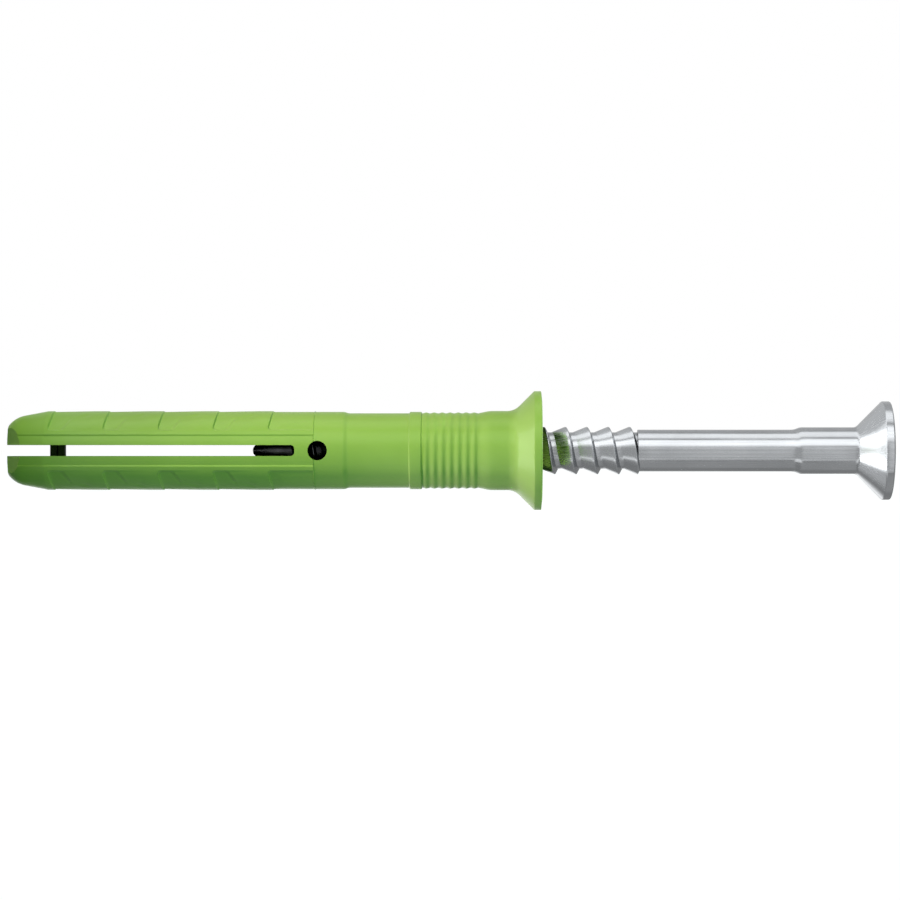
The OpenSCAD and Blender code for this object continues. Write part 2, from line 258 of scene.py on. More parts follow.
def mesh_object(name, points, faces):
    """A new object of points in millimetres, linked to the scene."""
    mesh = bpy.data.meshes.new(name)
    mesh.from_pydata([tuple(float(v) * MM for v in p) for p in points], [], faces)
    mesh.update()
    made = bpy.data.objects.new(name, mesh)
    bpy.context.scene.collection.objects.link(made)
    return made


def wrapped(rows, columns):
    """Quads of a grid of points that closes both ways, facing outwards for rows that run towards +X."""
    faces = []
    for i in range(rows):
        a = i * columns
        b = (i + 1) % rows * columns
        for j in range(columns):
            k = (j + 1) % columns
            faces.append((a + j, b + j, b + k, a + k))
    return faces


def revolved(name, outline, columns, x0):
    """A solid of revolution about X, from an outline that begins and ends on the axis."""
    angles = np.arange(columns) * 2 * math.pi / columns
    points = [(x0 + outline[0][0], 0, 0)]
    for x, r in outline[1:-1]:
        points += [(x0 + x, -r * math.cos(a), r * math.sin(a)) for a in angles]
    points.append((x0 + outline[-1][0], 0, 0))
    rings = len(outline) - 2
    faces = []
    for j in range(columns):
        k = (j + 1) % columns
        faces.append((0, 1 + j, 1 + k))
        for i in range(rings - 1):
            a = 1 + i * columns
            b = a + columns
            faces.append((a + j, b + j, b + k, a + k))
        last = 1 + (rings - 1) * columns
        faces.append((last + j, len(points) - 1, last + k))
    return mesh_object(name, points, faces)


def two_ended(name, points):
    """A closed solid between two ends, from the points of one and then those of the other, in one order."""
    count = len(points) // 2
    faces = [tuple(range(count)), tuple(range(2 * count - 1, count - 1, -1))]
    faces += [(i, i + count, (i + 1) % count + count, (i + 1) % count) for i in range(count)]
    made = mesh_object(name, points, faces)
    outward(made)
    return made


def prism(name, outline, axis, reach=CUTTER_REACH):
    """An outline extruded both ways along Y or Z. Its points are (x, z) for Y and (x, y) for Z."""
    points = []
    for level in (-reach, reach):
        points += [(u, level, v) if axis == "Y" else (u, v, level) for u, v in outline]
    return two_ended(name, points)


def outward(made):
    """Turns all the faces of a closed mesh outwards."""
    bm = bmesh.new()
    bm.from_mesh(made.data)
    bmesh.ops.recalc_face_normals(bm, faces=bm.faces)
    bm.to_mesh(made.data)
    bm.free()


def combined(made, other, operation):
    """The first solid changed by the second one, which is removed."""
    change = made.modifiers.new("change", "BOOLEAN")
    change.operation = operation
    change.solver = "MANIFOLD"
    change.object = other
    graph = bpy.context.evaluated_depsgraph_get()
    mesh = bpy.data.meshes.new_from_object(made.evaluated_get(graph))
    made.modifiers.clear()
    made.data = mesh
    bpy.data.objects.remove(other)
    return made


def shaded(made, sharp_angle):
    """Smooth shading that keeps edges over an angle in degrees sharp."""
    made.data.shade_smooth()
    made.data.set_sharp_from_angle(angle=math.radians(sharp_angle))


# Plug


def nose_arc():
    """The rounded nose: an arc from the edge of the front that is tangent to the lead cone."""
    lead = math.atan((CREST_R - NOSE_R) / (LEAD_LENGTH - NOSE_LENGTH))
    run = NOSE_LENGTH - FRONT_FALL
    rise = NOSE_R - FRONT_R
    radius = (run**2 + rise**2) / (2 * (rise * math.cos(lead) - run * math.sin(lead)))
    centre = (NOSE_LENGTH + radius * math.sin(lead), NOSE_R - radius * math.cos(lead))
    start = math.atan2(FRONT_R - centre[1], FRONT_FALL - centre[0])
    return arc(centre, radius, start, math.pi / 2 + lead, 14)


def barb_stations():
    """Stations along the barbed zone, close together at each step."""
    stations = ladder(LEAD_LENGTH + 0.1, (BARB_FIRST - 0.07, 3))
    for i in range(BARB_COUNT):
        x = BARB_FIRST + i * BARB_PITCH
        stations += ladder(x - 0.06, (x + 0.1, 11), (x + 0.35, 4), (x + 1.7, 14))
        last = i == BARB_COUNT - 1
        stations += ladder(x + 1.8, (BARB_END - 0.3, 7), (BARB_END - 0.03, 9)) if last else (
            ladder(x + 1.8, (x + 3.55, 10), (x + BARB_PITCH - 0.1, 4))
        )
    return stations


def rib_outline():
    """Sealing ribs: rounded crests with a groove on each side."""
    points_per_rib = 12
    middle = (RIB_R + RIB_GROOVE_R) / 2
    wave = (RIB_R - RIB_GROOVE_R) / 2
    turns = [i / points_per_rib for i in range(RIB_COUNT * points_per_rib + 1)]
    return [(RIB_START + t * RIB_PITCH, middle - wave * math.cos(2 * math.pi * t)) for t in turns]


def sleeve_outline():
    """The sleeve and the flange, from the end of the barbed zone to the face of the flange."""
    collar_end = BARB_END + COLLAR_LENGTH
    front = rounded([
        (BARB_END, CREST_R, 0), (BARB_END + 0.012, COLLAR_R, 0.01), (collar_end, COLLAR_R, 0.12),
        (collar_end + NECK_CHAMFER, NECK_R, 0.14), (RING_START - RING_CHAMFER, NECK_R, 0.05),
        (RING_START, RING_R, 0.05), (RIB_START - RING_CHAMFER, RING_R, 0.05), (RIB_START, RIB_GROOVE_R, 0),
    ])
    fillet = arc((SEAT_END, SEAT_R + FLANGE_FILLET), FLANGE_FILLET, -math.pi / 2, -math.pi / 4, 10)
    rear = rounded([
        (RIB_END, RIB_GROOVE_R, 0), (SEAT_START, SEAT_R, 0.3), (SEAT_END, SEAT_R, 0),
    ])
    rim = rounded([
        fillet[-1] + (0,), (PLUG_LENGTH - FLANGE_RIM, FLANGE_R, 0.05),
        (PLUG_LENGTH - FLANGE_FALL, FLANGE_R, 0.06), (PLUG_LENGTH, SINK_R, 0.05),
        (PLUG_LENGTH - SINK_END_GAP, SINK_R, 0.03),
        (PLUG_LENGTH - SINK_END_GAP - SINK_R + BORE_R, BORE_R, 0.1), (PLUG_LENGTH - 6, BORE_R, 0),
    ])
    return divided(front, 0.5) + rib_outline()[1:-1] + divided(rear + fillet[1:-1] + rim, 0.5)


def bore_outline():
    """The inside of the plug, from the sleeve back to the mouth of the narrow bore at the tip."""
    bore_start = PILOT_END + (BORE_R - PILOT_R) / math.tan(POINT_ANGLE)
    wide = [(PLUG_LENGTH - 8, BORE_R), (bore_start, BORE_R)]
    narrow = [(PILOT_END, PILOT_R), (MOUTH_CHAMFER, PILOT_R)]
    return divided(wide + narrow, 2.5)


def column_angles(reference_r):
    """Angles round the plug, from the near slot over the top, denser at the edges of band and pocket."""
    floor_edge = BAND_HALF - BAND_DRAFT / 2
    band_edge = BAND_HALF + BAND_DRAFT / 2
    heights = ladder(
        0, (SLOT_HALF - 0.05, 2), (SLOT_HALF + 0.05, 1), (floor_edge - 0.04, 3), (floor_edge, 1),
        (band_edge, 7), (band_edge + 0.05, 1), (STRIP_HALF - 0.05, 1), (STRIP_HALF + 0.09, 7),
        (STRIP_HALF + 0.17, 1)
    )
    low = [math.asin(h / reference_r) for h in heights]
    quarter = low + list(np.linspace(low[-1], math.pi / 2, 24)[1:])
    half = quarter + [math.pi - a for a in quarter[-2::-1]]
    return half + [2 * math.pi - a for a in half[-2:0:-1]]


def step_lean(half):
    """How far a step leans towards the tip at a height over the slot's middle."""
    corner = STRIP_HALF + POCKET_CORNER_R
    return STEP_LEAN * np.clip((CREST_R - half) / (CREST_R - corner), 0, 1)


def step_shift(x, half):
    """How far the rings near a step follow its lean towards the tip."""
    lean = step_lean(half)
    offset = (x - BARB_FIRST + BARB_PITCH / 2) % BARB_PITCH - BARB_PITCH / 2
    before, behind = 0.33, 0.85
    weight = np.where(offset < 0, 1 + (offset + STEP_FRONT) / before, 1 - (offset - STEP_BACK) / behind)
    inside = (x > BARB_FIRST - before - STEP_FRONT) & (x < BARB_END - 1)
    return -lean * np.clip(weight, 0, 1) * inside


def ridge_side(u, half):
    """Distance from the diagonal ridge of a pocket: positive on its deep side, towards the step."""
    nearest = np.full_like(u, 1e9)
    side = np.ones_like(u)
    for (ax, ay), (bx, by) in zip(RIDGE, RIDGE[1:]):
        dx, dy = bx - ax, by - ay
        t = np.clip(((u - ax) * dx + (half - ay) * dy) / (dx * dx + dy * dy), 0, 1)
        distance = np.hypot(u - ax - t * dx, half - ay - t * dy)
        cross = dx * (half - ay) - dy * (u - ax)
        closer = distance < nearest
        side = np.where(closer, np.sign(cross), side)
        nearest = np.minimum(distance, nearest)
    return nearest * side


def shelf_fall(u, half):
    """How far the shelf behind a ridge falls towards the ridge's far stretch."""
    line = np.interp(u, [p[0] for p in RIDGE], [p[1] for p in RIDGE])
    share = np.clip((half - SHELF_FOOT) / (line - SHELF_FOOT + 1e-6), 0, 1)
    along = smooth(u, *SHELF_RISE) * (1 - smooth(u, *SHELF_FADE))
    return SHELF_FALL * share**2 * along * (half > SHELF_FOOT)


def pocket_floor(x, half):
    """Radius of the plug in the barbed zone, where half is the height above the middle of the slot."""
    floor = np.full_like(x, CREST_R)
    turn = np.arcsin(np.clip(half / CREST_R, 0, 1))
    swell = np.sin(np.clip((turn - SWELL_START) / (SWELL_END - SWELL_START), 0, 1) * math.pi) ** 0.7
    for i in range(BARB_COUNT):
        u = x - BARB_FIRST - i * BARB_PITCH
        beside = POCKET_CORNER_R - (u + step_lean(half))
        above = POCKET_CORNER_R - (half - STRIP_HALF)
        inside = POCKET_CORNER_R - np.hypot(np.maximum(beside, 0), np.maximum(above, 0))
        inside += np.minimum(np.maximum(-beside, 0), np.maximum(-above, 0))
        last = i == BARB_COUNT - 1
        run = TAIL_RAMP if last else POCKET_RAMP
        ramp = np.clip(1 - (u + STEP_LEAN) / (run + STEP_LEAN), 0, 1)
        side = ridge_side(u, half)
        deep = (POCKET_DEPTH + SWELL * swell) * ramp
        shelf = SHELF_DEPTH * ramp + (0 if last else shelf_fall(u, half))
        groove = GROOVE_DEPTH * np.exp(-(((side - GROOVE_OFFSET) / GROOVE_SPREAD) ** 2))
        depth = shelf + (deep - shelf) * smooth(side / RIDGE_WALL + 0.5)
        depth += groove * (u < GROOVE_END) * (half > SHELF_FOOT)
        if last:
            depth = np.maximum(depth, (CREST_R - COLLAR_R) * (u < BARB_TAIL))
        reach = u < (BARB_TAIL if last else POCKET_RAMP)
        floor -= depth * smooth(inside / POCKET_WALL) * reach
    return floor


def with_band(radius, x, half):
    """The radius with the drafted band along the slot cut into it, whose floor rises towards the collar."""
    end_r = COLLAR_R - BAND_END_DEPTH
    floor = CREST_R - BAND_DEPTH + (end_r - CREST_R + BAND_DEPTH) * x / BARB_END
    floor = np.minimum(floor, radius - BAND_LEAST)
    share = smooth((half - BAND_HALF) / BAND_DRAFT + 0.5)
    return np.where(x <= BARB_END, floor + (radius - floor) * share, radius)


def plug_skin():
    """Outside and bore of the plug as one closed skin."""
    step = 0.12
    face = [(0.0, PILOT_R + MOUTH_CHAMFER), (0.0, FACE_R)]
    lead = [(NOSE_LENGTH, NOSE_R), (LEAD_LENGTH, CREST_R)]
    nose = face + divided(nose_arc(), step) + divided(lead, step)[1:]
    barbs = [(x, CREST_R) for x in barb_stations()]
    outline = nose + barbs + sleeve_outline() + bore_outline()
    rows = []
    for i, (x, r) in enumerate(outline):
        nose_r = np.interp(x, [p[0] for p in nose[1:]], [p[1] for p in nose[1:]])
        reference = max(nose_r, FRONT_R) if x < LEAD_LENGTH else CREST_R
        angles = np.array(column_angles(reference))
        radius = np.full_like(angles, r)
        station = np.full_like(angles, x)
        half = np.abs(reference * np.sin(angles))
        if len(nose) <= i < len(nose) + len(barbs):
            station = station + step_shift(station, half)
            radius = np.minimum(radius, pocket_floor(station, half))
        if i < len(nose) + len(barbs) and r > FACE_R:
            radius = with_band(radius, station, half)
        rows.append(np.column_stack([TIP_X + station, -radius * np.cos(angles), radius * np.sin(angles)]))
    points = np.concatenate(rows)
    return mesh_object("plug_moulding", points, wrapped(len(rows), len(rows[0])))


def slot_cutter():
    """The slot between the jaws, with two rounded corners at its end."""
    reach = SLOT_HALF - SLOT_CORNER_R
    centre_x = SLOT_LENGTH - SLOT_CORNER_R
    angles = np.linspace(0, math.pi / 2, 9)
    upper = [(centre_x + SLOT_CORNER_R * math.sin(a), reach + SLOT_CORNER_R * math.cos(a)) for a in angles]
    outline = [(-1.0, SLOT_HALF)] + upper + [(x, -z) for x, z in upper[::-1]] + [(-1.0, -SLOT_HALF)]
    return prism("slot", [(TIP_X + x, z) for x, z in outline], "Y")


def relief_cutter():
    """The round relief hole behind the slot, right through the sleeve."""
    angles = np.linspace(0, 2 * math.pi, 64, endpoint=False)
    outline = [(TIP_X + RELIEF_X + RELIEF_R * math.cos(a), RELIEF_R * math.sin(a)) for a in angles]
    return prism("relief", outline, "Y")


def front_cutter(side):
    """One side of the slanted front, which narrows the jaws towards the tip."""
    rise = math.tan(FRONT_CUT_ANGLE)
    top = ((CUTTER_REACH - FRONT_CUT_FOOT) / rise, CUTTER_REACH)
    outline = [(-1.0, FRONT_CUT_FOOT - rise), top, (-1.0, CUTTER_REACH)]
    return prism("front", [(TIP_X + x, side * y) for x, y in outline], "Z")


def bridge():
    """The small bridge across the bore that ties the jaws together, with a breaking groove on both sides."""
    start = TIP_X + BRIDGE_START
    middle = start + BRIDGE_LENGTH / 2
    half_t = BRIDGE_T / 2
    half_w = BRIDGE_GROOVE_W / 2
    side = [
        (start, half_t), (middle - half_w, half_t), (middle, half_t - half_w), (middle + half_w, half_t),
        (start + BRIDGE_LENGTH, half_t),
    ]
    return prism("bridge", side + [(x, -y) for x, y in side[::-1]], "Z", PILOT_R + 0.1)


def make_plug():
    """The whole plug: its skin, cut by the slot, the relief hole and the slanted front, with the bridge."""
    made = plug_skin()
    outward(made)
    combined(made, slot_cutter(), "DIFFERENCE")
    combined(made, relief_cutter(), "DIFFERENCE")
    for side in (-1, 1):
        combined(made, front_cutter(side), "DIFFERENCE")
    combined(made, bridge(), "UNION")
    shaded(made, sharp_angle=32)
    return made


# Nail


def nail_outline():
    """Point, core, shanks and head, from the point to the top of the head."""
    head_foot = NAIL_LENGTH - HEAD_RIM - (HEAD_R - UPPER_R)
    upper_start = head_foot - UPPER_LENGTH
    point = arc((POINT_R, 0), POINT_R, math.pi, math.pi / 2 + POINT_ANGLE, 8)
    body = rounded([
        point[-1] + (0,), (CONE_END, ROOT_R, 0.1), (THREAD_END, ROOT_R, 0), (THREAD_END, SHANK_R, 0.03),
        (upper_start - SHANK_CHAMFER, SHANK_R, 0.16), (upper_start, UPPER_R, 0.14),
        (head_foot, UPPER_R, HEAD_FILLET), (NAIL_LENGTH - HEAD_RIM, HEAD_R, 0.06),
        (NAIL_LENGTH, HEAD_R, HEAD_EDGE), (NAIL_LENGTH, 0, 0),
    ])
    return point[:-1] + divided(body, 1.0)


def tooth_profile():
    """The sawtooth at full height, as (distance from the crest's middle, share of the height)."""
    half = CREST_FLAT / 2
    lead = [(-half - LEAD_FLANK * (1 - t), t) for t in (0, 0.06, 0.3, 0.6, 0.85, 0.95)]
    crest = [(-half * 0.7, 0.985), (0, 1.0), (half * 0.8, 0.985)]
    back = [(half + BACK_FLANK * (1 - t), t) for t in (0.9, 0.6, 0.2, 0)]
    return lead + crest + back


def thread():
    """Single-start right-hand thread as one closed skin along the helix, which runs in and out."""
    steps = 72
    room = THREAD_END - LAST_TOP_GAP - CONE_END - LEAD_FLANK * LEAST_HEIGHT
    whole = math.floor(room / THREAD_PITCH)
    start = THREAD_END - LAST_TOP_GAP - whole * THREAD_PITCH
    total = round((whole + 0.75) * steps)
    profile = tooth_profile()
    count = len(profile) + 2
    points = []
    for s in range(total + 1):
        height = max(0.0, min(1.0, s / (steps / 2), (total - s) / (steps / 4)))
        height = LEAST_HEIGHT + (1 - LEAST_HEIGHT) * height
        crest = min(start + THREAD_PITCH * s / steps, THREAD_END)
        angle = 2 * math.pi * s / steps
        ring = [
            (crest + x * (height if abs(x) > CREST_FLAT else 1), ROOT_R + t * height * (THREAD_R - ROOT_R))
            for x, t in profile
        ]
        ring = [(ring[0][0], ROOT_R - THREAD_SUNK)] + ring + [(ring[-1][0], ROOT_R - THREAD_SUNK)]
        points += [(POINT_X + x, -r * math.sin(angle), r * math.cos(angle)) for x, r in ring]
    faces = []
    for s in range(total):
        for j in range(count):
            k = (j + 1) % count
            faces.append((s * count + j, s * count + k, (s + 1) * count + k, (s + 1) * count + j))
    faces.append(tuple(range(count)))
    faces.append(tuple(range((total + 1) * count - 1, total * count - 1, -1)))
    made = mesh_object("thread", points, faces)
    outward(made)
    return made


def recess_cutter():
    """The cross recess: two crossed wings that narrow towards the bottom."""
    top = NAIL_LENGTH + 1
    bottom = NAIL_LENGTH - RECESS_DEPTH
    slope = (RECESS_HALF - RECESS_FLOOR_R) / RECESS_DEPTH
    outline = [(bottom, 0), (bottom, RECESS_FLOOR_R), (top, RECESS_HALF + slope), (top, 0)]
    cone = revolved("cone", outline, columns=96, x0=POINT_X)
    half = RECESS_WING / 2
    reach = 2 * RECESS_HALF
    turned = [
        (u * math.cos(a) - v * math.sin(a), u * math.sin(a) + v * math.cos(a))
        for a in math.pi / 4 + np.arange(4) * math.pi / 2
        for u, v in ((reach, -half), (reach, half), (half, half))
    ]
    low, high = POINT_X + bottom - 0.5, POINT_X + top + 0.5
    wings = two_ended("wings", [(level, y, z) for level in (low, high) for y, z in turned])
    return combined(cone, wings, "INTERSECT")


def make_nail():
    """The whole nail: its body, cut by the recess, with the thread."""
    made = revolved("screw_nail", nail_outline(), columns=192, x0=POINT_X)
    outward(made)
    combined(made, recess_cutter(), "DIFFERENCE")
    combined(made, thread(), "UNION")
    shaded(made, sharp_angle=30)
    return made


# Materials

SPECULAR = 0.5
HOLLOW_REACH = 4.0
BUMP_DEPTH = 0.01
NOISE_DETAIL = 3.0
NYLON_COLOURS = ((0.26, 0.505, 0.06), (0.285, 0.535, 0.07))
# Stations from the plug's tip between which the nose's painted shade, a weaker reflection, gives way to full
# reflection
NOSE_SHADE_STATIONS = (1.2, 5.0)
ZINC_COLOURS = ((0.5, 0.52, 0.54), (0.55, 0.57, 0.59))


def material(name, colour, roughness, metallic=0.0, specular=SPECULAR):
    """A new material with one shader."""
    made = bpy.data.materials.new(name)
    made.use_nodes = True
    shader = made.node_tree.nodes["Principled BSDF"]
    shader.inputs["Base Color"].default_value = (*colour, 1)
    shader.inputs["Roughness"].default_value = roughness
    shader.inputs["Metallic"].default_value = metallic
    shader.inputs["Specular IOR Level"].default_value = specular
    return made


def object_noise(tree, scale):
    """A noise in the object's own coordinates, with scale in cells per millimetre."""
    place = tree.nodes.new("ShaderNodeTexCoord")
    return noise_at(tree, place.outputs["Object"], scale / MM)


def drawn_noise(tree, lines, stretch):
    """A noise that runs along the axis: lines per radian round it, and cells per millimetre along it."""
    place = tree.nodes.new("ShaderNodeTexCoord")
    flat = tree.nodes.new("ShaderNodeVectorMath")
    flat.operation = "MULTIPLY"
    flat.inputs[1].default_value = (0, 1, 1)
    tree.links.new(place.outputs["Object"], flat.inputs[0])
    ring = tree.nodes.new("ShaderNodeVectorMath")
    ring.operation = "NORMALIZE"
    tree.links.new(flat.outputs["Vector"], ring.inputs[0])
    joined = tree.nodes.new("ShaderNodeVectorMath")
    joined.operation = "ADD"
    along = tree.nodes.new("ShaderNodeVectorMath")
    along.operation = "MULTIPLY"
    along.inputs[1].default_value = (stretch / lines / MM, 0, 0)
    tree.links.new(place.outputs["Object"], along.inputs[0])
    tree.links.new(ring.outputs["Vector"], joined.inputs[0])
    tree.links.new(along.outputs["Vector"], joined.inputs[1])
    return noise_at(tree, joined.outputs["Vector"], lines)


def noise_at(tree, place, scale):
    """A noise with some detail at scaled coordinates."""
    mapping = tree.nodes.new("ShaderNodeMapping")
    mapping.inputs["Scale"].default_value = [scale] * 3
    noise = tree.nodes.new("ShaderNodeTexNoise")
    noise.inputs["Scale"].default_value = 1.0
    noise.inputs["Detail"].default_value = NOISE_DETAIL
    tree.links.new(place, mapping.inputs["Vector"])
    tree.links.new(mapping.outputs["Vector"], noise.inputs["Vector"])
    return noise.outputs["Fac"]


def ranged(tree, value, low, high, start=0.3, end=0.7):
    """A value mapped from start..end to low..high."""
    node = tree.nodes.new("ShaderNodeMapRange")
    node.inputs["From Min"].default_value = start
    node.inputs["From Max"].default_value = end
    node.inputs["To Min"].default_value = low
    node.inputs["To Max"].default_value = high
    tree.links.new(value, node.inputs["Value"])
    return node.outputs["Result"]


def blended(tree, factor, first, second):
    """A colour that turns from first to second with the factor."""
    node = tree.nodes.new("ShaderNodeMix")
    node.data_type = "RGBA"
    node.inputs["A"].default_value = (*first, 1)
    node.inputs["B"].default_value = (*second, 1)
    tree.links.new(factor, node.inputs["Factor"])
    return node.outputs["Result"]


def maths(tree, operation, *values):
    """One step of arithmetic on sockets and numbers."""
    node = tree.nodes.new("ShaderNodeMath")
    node.operation = operation
    for socket, value in zip(node.inputs, values):
        if isinstance(value, (int, float)):
            socket.default_value = value
        else:
            tree.links.new(value, socket)
    return node.outputs[0]


def openness(tree, low, high):
    """How open the near surroundings of a point are, mapped from low..high to 0..1."""
    node = tree.nodes.new("ShaderNodeAmbientOcclusion")
    node.samples = 8
    node.inputs["Distance"].default_value = HOLLOW_REACH * MM
    return ranged(tree, node.outputs["AO"], 0, 1, low, high)


def paint_hollow_shade(tree, shader, colour, low, high, reflection_shade=None):
    """Links the colour, darkened in hollows as painted shade, and the strength of the reflection, which the
    hollows and a given painted shade factor lower too.
    """
    # Painted shade: the darkness comes from ambient occlusion, not from a colour the material has.
    light = openness(tree, low, high)
    scale = tree.nodes.new("ShaderNodeVectorMath")
    scale.operation = "SCALE"
    tree.links.new(colour, scale.inputs[0])
    tree.links.new(light, scale.inputs["Scale"])
    tree.links.new(scale.outputs["Vector"], shader.inputs["Base Color"])
    strength = ranged(tree, light, 0, SPECULAR, 0, 1)
    if reflection_shade is not None:
        strength = maths(tree, "MULTIPLY", strength, reflection_shade)
    tree.links.new(strength, shader.inputs["Specular IOR Level"])


def add_bump(tree, shader, height, strength):
    """Fine relief from a height between 0 and 1."""
    node = tree.nodes.new("ShaderNodeBump")
    node.inputs["Strength"].default_value = strength
    node.inputs["Distance"].default_value = BUMP_DEPTH * MM
    tree.links.new(height, node.inputs["Height"])
    tree.links.new(node.outputs["Normal"], shader.inputs["Normal"])


def green_nylon():
    """Satin moulded nylon: a slightly cloudy green with the mould's fine grain, with painted shade in
    hollows and a reflection weakened towards the nose as painted shade.
    """
    made = material("green_nylon", NYLON_COLOURS[0], 0.3)
    tree = made.node_tree
    shader = tree.nodes["Principled BSDF"]
    cloud = object_noise(tree, 0.35)
    colour = blended(tree, ranged(tree, cloud, 0, 1), *NYLON_COLOURS)
    parts = tree.nodes.new("ShaderNodeSeparateXYZ")
    tree.links.new(tree.nodes["Texture Coordinate"].outputs["Object"], parts.inputs["Vector"])
    # Painted shade: the reflection is weakened towards the tip of the nose.
    shaded_x, unshaded_x = ((TIP_X + station) * MM for station in NOSE_SHADE_STATIONS)
    reflection_shade = ranged(tree, parts.outputs["X"], 0.1, 1, shaded_x, unshaded_x)
    # Painted shade: the colour and the reflection darken in hollows such as the slot, the bore and the
    # corners of the steps. The reflection also weakens towards the nose.
    paint_hollow_shade(tree, shader, colour, 0.08, 0.7, reflection_shade)
    grain = object_noise(tree, 9.0)
    tree.links.new(ranged(tree, grain, 0.28, 0.34), shader.inputs["Roughness"])
    add_bump(tree, shader, grain, 0.12)
    shader.inputs["Subsurface Weight"].default_value = 0.06
    shader.inputs["Subsurface Radius"].default_value = (0.5 * MM, 0.7 * MM, 0.2 * MM)
    shader.inputs["Subsurface Scale"].default_value = 1.0
    return made


def zinc_steel():
    """Bright zinc on drawn wire: fine lines along the shank, and a rougher skin between them."""
    made = material("zinc_plated_steel", ZINC_COLOURS[0], 0.2, metallic=1.0)
    tree = made.node_tree
    shader = tree.nodes["Principled BSDF"]
    lines = drawn_noise(tree, 20.0, 0.15)
    cloud = object_noise(tree, 0.4)
    colour = blended(tree, ranged(tree, cloud, 0, 1), *ZINC_COLOURS)
    # Painted shade: the colour and the reflection darken in hollows, such as inside the plug and in the
    # roots of the thread.
    paint_hollow_shade(tree, shader, colour, 0.2, 0.68)
    tree.links.new(ranged(tree, lines, 0.14, 0.32), shader.inputs["Roughness"])
    add_bump(tree, shader, lines, 0.04)
    return made


def dress(made, body, node, finish):
    """Gives a piece its material, and lets it stand for its solid on its body."""
    made.data.materials.clear()
    made.data.materials.append(finish)
    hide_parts(node)
    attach(made, body)


# Studio

CAMERA_DISTANCE = 225.0
CAMERA_FOOT_X = -1.0
CAMERA_HEIGHT = 0.04
CAMERA_LENS = 120.1
CAMERA_YAW = math.radians(0.835)
LAMP_DISTANCE = 200.0
SOFT_COLOUR = (0.7, 1.0, 1.0)
BESIDE_LEAST = 0.9
BESIDE_MORE = 7.0
FLOOR_HALF = 3000.0
FLOOR_GLOW = 0.95


def step_up(tree, value, start, end):
    """A smooth step from 0 at start to 1 at end, where end may lie below start."""
    node = tree.nodes.new("ShaderNodeMapRange")
    node.interpolation_type = "SMOOTHSTEP"
    low, high = min(start, end), max(start, end)
    node.inputs["From Min"].default_value = low
    node.inputs["From Max"].default_value = high
    node.inputs["To Min"].default_value = 0 if start < end else 1
    node.inputs["To Max"].default_value = 1 if start < end else 0
    tree.links.new(value, node.inputs["Value"])
    return node.outputs["Result"]


def window(tree, value, low, high, edge):
    """1 between low and high, with soft edges."""
    rise = step_up(tree, value, low - edge, low + edge)
    fall = step_up(tree, value, high + edge, high - edge)
    return maths(tree, "MULTIPLY", rise, fall)


def panel(tree, angle, across, low, high, edge, left, right, side_edge, brightness):
    """The light of one panel, in a window of the angle over the camera's side and of the direction's X."""
    shape = maths(
        tree, "MULTIPLY", window(tree, angle, low, high, edge), window(tree, across, left, right, side_edge)
    )
    return maths(tree, "MULTIPLY", shape, brightness)


def panels_light(tree, angle, across, panels):
    """The sum of some panels."""
    total = None
    for values in panels:
        light = panel(tree, angle, across, *values)
        total = light if total is None else maths(tree, "ADD", total, light)
    return total


# Panels: low, high and edge of the angle in degrees, left, right and edge of the direction's X, brightness
REFLECTED = [
    (24, 60, 4, -0.9, 0.45, 0.1, 1.6),
    (71, 106, 3, -0.9, 0.45, 0.1, 1.25),
    (-200, 200, 1, -2, 2, 0.1, 0.3),
    (110, 150, 8, -2, 2, 0.1, 0.25),
    (112, 150, 6, -2, -0.25, 0.1, 0.2),
    (150, 200, 8, -2, 0.3, 0.2, 0.35),
    (-66, -48, 4, -0.9, -0.2, 0.25, 0.9),
    (-51, -45, 2, -0.2, 0.5, 0.2, 0.7),
    (-114, -60, 6, -0.2, 0.5, 0.2, 0.12),
    (-42, 20, 4, 0.08, 0.45, 0.04, 0.5),
    (-42, 20, 4, -0.9, 0.06, 0.06, 0.2),
    (7, 15, 3, -0.3, 0.5, 0.1, 0.3),
    (-13, -6, 2, -0.3, 0.5, 0.1, 0.25),
    (-35, -28, 2, -0.3, 0.5, 0.1, 0.2),
    (-130, -97, 6, -2, -0.6, 0.15, 0.35),
    (-200, -150, 8, -2, 0.0, 0.1, 1.0),
]
DIFFUSE = [
    (-200, 200, 1, -2, 2, 0.1, 0.06),
    (-200, 200, 1, 0.5, 2, 0.2, 0.5),
    (-200, 200, 1, -0.45, 2, 0.3, 0.05),
    (-35, 180, 30, -0.45, 2, 0.3, 0.1),
]


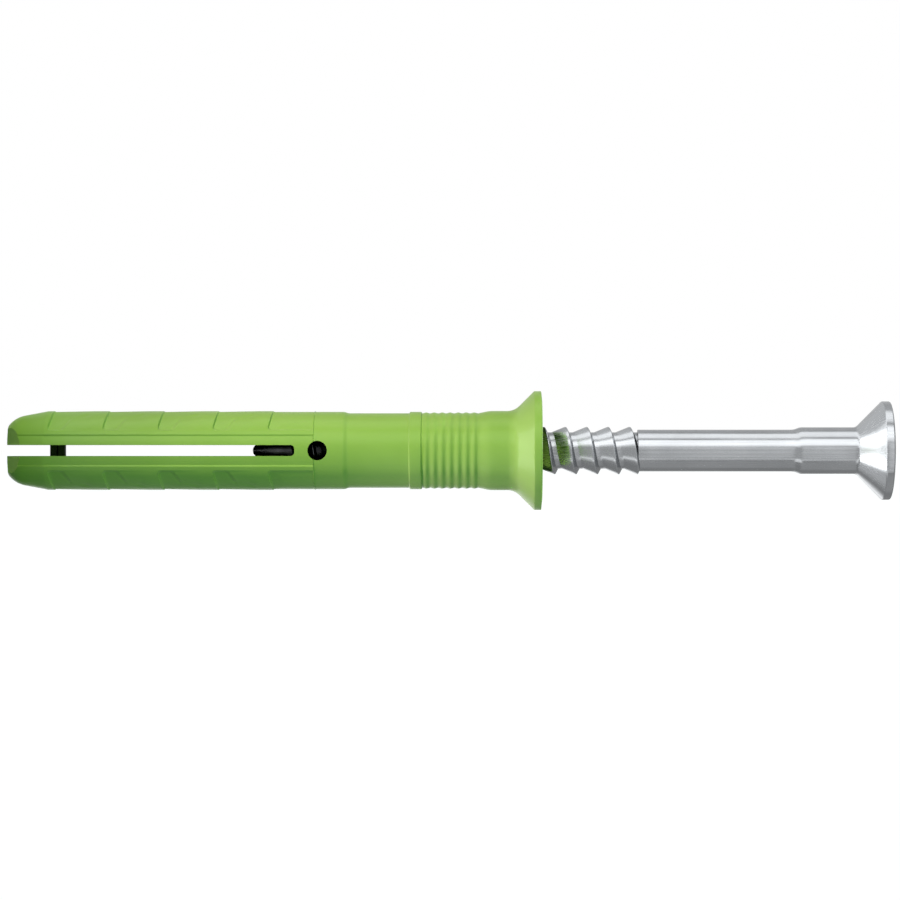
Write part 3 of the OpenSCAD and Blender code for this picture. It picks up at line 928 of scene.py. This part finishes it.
def make_world():
    """White to the camera, panels as reflections and as soft light, and one more panel beside the tip."""
    world = bpy.data.worlds.new("studio")
    world.use_nodes = True
    world.cycles.sampling_method = "NONE"
    tree = world.node_tree
    background = tree.nodes["Background"]
    place = tree.nodes.new("ShaderNodeTexCoord")
    parts = tree.nodes.new("ShaderNodeSeparateXYZ")
    tree.links.new(place.outputs["Generated"], parts.inputs["Vector"])
    x, y, z = parts.outputs
    turn = maths(tree, "ARCTAN2", z, maths(tree, "MULTIPLY", y, -1.0))
    angle = maths(tree, "MULTIPLY", turn, 180 / math.pi)
    beside = maths(tree, "MULTIPLY", step_up(tree, x, -0.86, -0.94), step_up(tree, y, 0.1, 0.0))
    level = maths(tree, "MULTIPLY_ADD", step_up(tree, y, -0.12, -0.02), BESIDE_MORE, BESIDE_LEAST)
    reflected = maths(tree, "MULTIPLY_ADD", beside, level, panels_light(tree, angle, x, REFLECTED))
    path = tree.nodes.new("ShaderNodeLightPath")
    seen = path.outputs["Is Camera Ray"]
    glossy = path.outputs["Is Glossy Ray"]
    soft = maths(tree, "SUBTRACT", maths(tree, "SUBTRACT", 1.0, seen), glossy)
    light = maths(tree, "MULTIPLY_ADD", reflected, glossy, seen)
    light = maths(tree, "MULTIPLY_ADD", panels_light(tree, angle, x, DIFFUSE), soft, light)
    tree.links.new(light, background.inputs["Strength"])
    tree.links.new(blended(tree, soft, (1, 1, 1), SOFT_COLOUR), background.inputs["Color"])
    bpy.context.scene.world = world


# Lamps: name, aim, direction towards the lamp, reach, size, power and colour
LAMPS = [
    ("key", (-8.0, 0.0, 0.0), (-0.38, -0.62, 0.68), 31.0, 8.0, 1.4, (1.0, 0.79, 0.8)),
    ("fill", (-4.0, 0.0, 0.0), (-0.3, -0.86, -0.4), 44.0, 12.0, 0.28, (0.35, 0.78, 1.0)),
    ("top", (-36.5, 0.0, 0.0), (0.0, -0.12, 1.0), 9.0, 3.0, 0.55, (0.8, 0.78, 0.8)),
    ("side", (1.0, -2.5, -2.0), (-1.0, -0.25, -0.3), 7.0, 2.0, 2.3, (0.6, 0.4, 1.1)),
    ("face", (2.6, 0.0, 0.0), (1.0, -0.12, 0.25), 4.6, 1.0, 7.0, (1.0, 0.9, 0.9)),
]


def make_lamps():
    """Spot lamps far away, with soft edges: a key, a fill, and narrow ones for nose, flange and its face."""
    for name, aim, toward, reach, size, power, colour in LAMPS:
        data = bpy.data.lights.new(name, "SPOT")
        data.spot_size = 2 * math.atan(reach / LAMP_DISTANCE)
        data.spot_blend = 1.0
        data.shadow_soft_size = size * MM
        data.energy = power
        data.color = colour
        made = bpy.data.objects.new(name, data)
        bpy.context.scene.collection.objects.link(made)
        way = Vector(toward).normalized()
        made.location = (Vector(aim) + way * LAMP_DISTANCE) * MM
        made.rotation_euler = (-way).to_track_quat("-Z", "Y").to_euler()
        made.visible_camera = False
        made.visible_glossy = False
        made.visible_transmission = False


def make_floor():
    """A white floor that only the camera sees, with the object's soft shadow."""
    corners = [(u * FLOOR_HALF, v * FLOOR_HALF) for u, v in ((-1, -1), (1, -1), (1, 1), (-1, 1))]
    floor = mesh_object("floor", [(x, y, FLOOR_Z) for x, y in corners], [(0, 1, 2, 3)])
    made = material("pale_floor", (0.3, 0.3, 0.3), 1.0, specular=0.0)
    shader = made.node_tree.nodes["Principled BSDF"]
    shader.inputs["Emission Color"].default_value = (1, 1, 1, 1)
    shader.inputs["Emission Strength"].default_value = FLOOR_GLOW
    floor.data.materials.append(made)
    floor.visible_diffuse = False
    floor.visible_glossy = False
    floor.visible_transmission = False
    floor.visible_shadow = False


def make_camera():
    """The photograph's view: level with the axis, near the flange, and turned to centre the object."""
    data = bpy.data.cameras.new("camera")
    data.lens = CAMERA_LENS
    data.clip_start = 0.01
    data.clip_end = 20.0
    made = bpy.data.objects.new("camera", data)
    bpy.context.scene.collection.objects.link(made)
    made.location = Vector((CAMERA_FOOT_X, -CAMERA_DISTANCE, CAMERA_HEIGHT)) * MM
    made.rotation_euler = (math.pi / 2, 0, CAMERA_YAW)
    bpy.context.scene.camera = made


dress(make_plug(), "plug", "plug", green_nylon())
dress(make_nail(), "nail", "nail", zinc_steel())
make_world()
make_lamps()
make_floor()
make_camera()
bpy.context.scene.view_settings.view_transform = "Standard"
